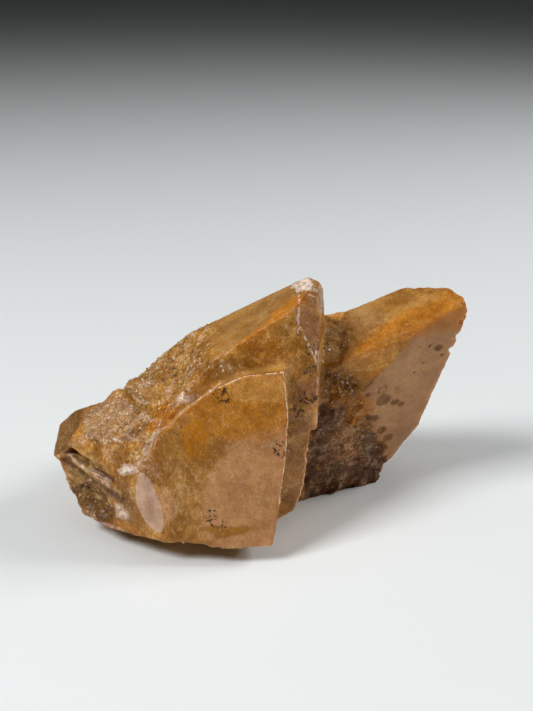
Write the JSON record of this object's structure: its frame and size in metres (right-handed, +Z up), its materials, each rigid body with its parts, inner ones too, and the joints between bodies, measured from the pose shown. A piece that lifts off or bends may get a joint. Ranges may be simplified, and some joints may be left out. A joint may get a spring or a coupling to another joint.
{
  "type": "calcite specimen",
  "caption": "Cluster of blunt honey-coloured calcite crystals grown together, with a tall crystal, a front blade and one free tooth, lying on a flat broken foot.",
  "frame": {"origin": "under the middle of the cluster's box, on the surface that it lies on", "axes": "+X runs along the cluster from its broken end to the free tooth, +Y to the back, away from the front blade, +Z up"},
  "size_m": [0.1206, 0.0734, 0.0719],
  "materials": {
    "calcite": "satin, cloudy translucent"
  },
  "bodies": {
    "root": {"calcite_cluster": "calcite"}
  },
  "joints": []
}
